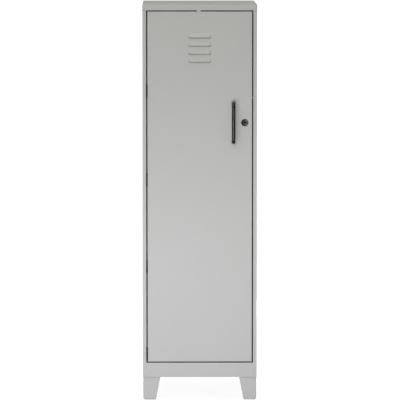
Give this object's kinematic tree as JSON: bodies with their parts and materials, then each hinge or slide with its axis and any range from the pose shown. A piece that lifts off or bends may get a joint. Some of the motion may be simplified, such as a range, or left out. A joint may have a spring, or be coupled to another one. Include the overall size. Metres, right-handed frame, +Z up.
{
  "type": "single-door locker cabinet",
  "caption": "Tall narrow steel locker cabinet with a louvred door, arched pull handle, cam lock, adjustable shelves and tapered legs.",
  "frame": {"origin": "on the floor, under the middle of the whole cabinet with its handle", "axes": "+Z up; the door faces -Y; +X is to the right of a person facing the door"},
  "size_m": [0.381, 0.4876, 1.32],
  "materials": {
    "silver_powder_coat": "satin powder coat with a fine orange peel",
    "black_coat": "satin black",
    "gunmetal": "dark machined",
    "zinc_plate": "bright zinc plate",
    "dark_steel": "oiled dark steel",
    "pale_nylon": "moulded",
    "grey_nylon": "moulded"
  },
  "bodies": {
    "cabinet": {"side_panel_left": "silver_powder_coat", "side_panel_right": "silver_powder_coat", "back_panel": "silver_powder_coat", "top_cap": "silver_powder_coat", "floor_pan": "silver_powder_coat", "base_rail": "silver_powder_coat", "header_rail": "silver_powder_coat", "top_buffer": "pale_nylon", "side_buffer": "grey_nylon", "shelf_lower": "silver_powder_coat", "shelf_middle": "silver_powder_coat", "shelf_upper": "silver_powder_coat", "leg_front_left": "silver_powder_coat", "leg_front_right": "silver_powder_coat", "leg_rear_left": "silver_powder_coat", "leg_rear_right": "silver_powder_coat", "foot_glide_front_left": "grey_nylon", "foot_glide_front_right": "grey_nylon", "foot_glide_rear_left": "grey_nylon", "foot_glide_rear_right": "grey_nylon", "shelf_standard_front_left": "silver_powder_coat", "shelf_standard_front_right": "silver_powder_coat", "shelf_standard_rear_left": "silver_powder_coat", "shelf_standard_rear_right": "silver_powder_coat", "shelf_clip_lower_front_left": "zinc_plate", "shelf_clip_lower_front_right": "zinc_plate", "shelf_clip_lower_rear_left": "zinc_plate", "shelf_clip_lower_rear_right": "zinc_plate", "shelf_clip_middle_front_left": "zinc_plate", "shelf_clip_middle_front_right": "zinc_plate", "shelf_clip_middle_rear_left": "zinc_plate", "shelf_clip_middle_rear_right": "zinc_plate", "shelf_clip_upper_front_left": "zinc_plate", "shelf_clip_upper_front_right": "zinc_plate", "shelf_clip_upper_rear_left": "zinc_plate", "shelf_clip_upper_rear_right": "zinc_plate", "hinge_top_frame_leaf": "dark_steel", "hinge_top_pin": "dark_steel", "hinge_upper_frame_leaf": "dark_steel", "hinge_upper_pin": "dark_steel", "hinge_lower_frame_leaf": "dark_steel", "hinge_lower_pin": "dark_steel", "hinge_bottom_frame_leaf": "dark_steel", "hinge_bottom_pin": "dark_steel"},
    "door": {"door_skin": "silver_powder_coat", "door_stiffener": "silver_powder_coat", "pull_handle": "black_coat", "handle_screw_upper": "zinc_plate", "handle_screw_lower": "zinc_plate", "lock_body": "black_coat", "lock_nut": "zinc_plate", "hinge_top_door_leaf": "dark_steel", "hinge_upper_door_leaf": "dark_steel", "hinge_lower_door_leaf": "dark_steel", "hinge_bottom_door_leaf": "dark_steel"},
    "lock": {"lock_plug": "gunmetal", "lock_cam": "zinc_plate", "cam_screw": "zinc_plate"}
  },
  "joints": [
    {"name": "door_swing", "type": "hinge", "parent": "cabinet", "child": "door", "pos_m": [-0.17575, -0.21275, 0.7125], "axis": [0, 0, -1], "range_deg": [0, 110]},
    {"name": "lock_turn", "type": "hinge", "parent": "door", "child": "lock", "pos_m": [0.1495, -0.21375, 0.928], "axis": [0, -1, 0], "range_deg": [0, 90]}
  ]
}
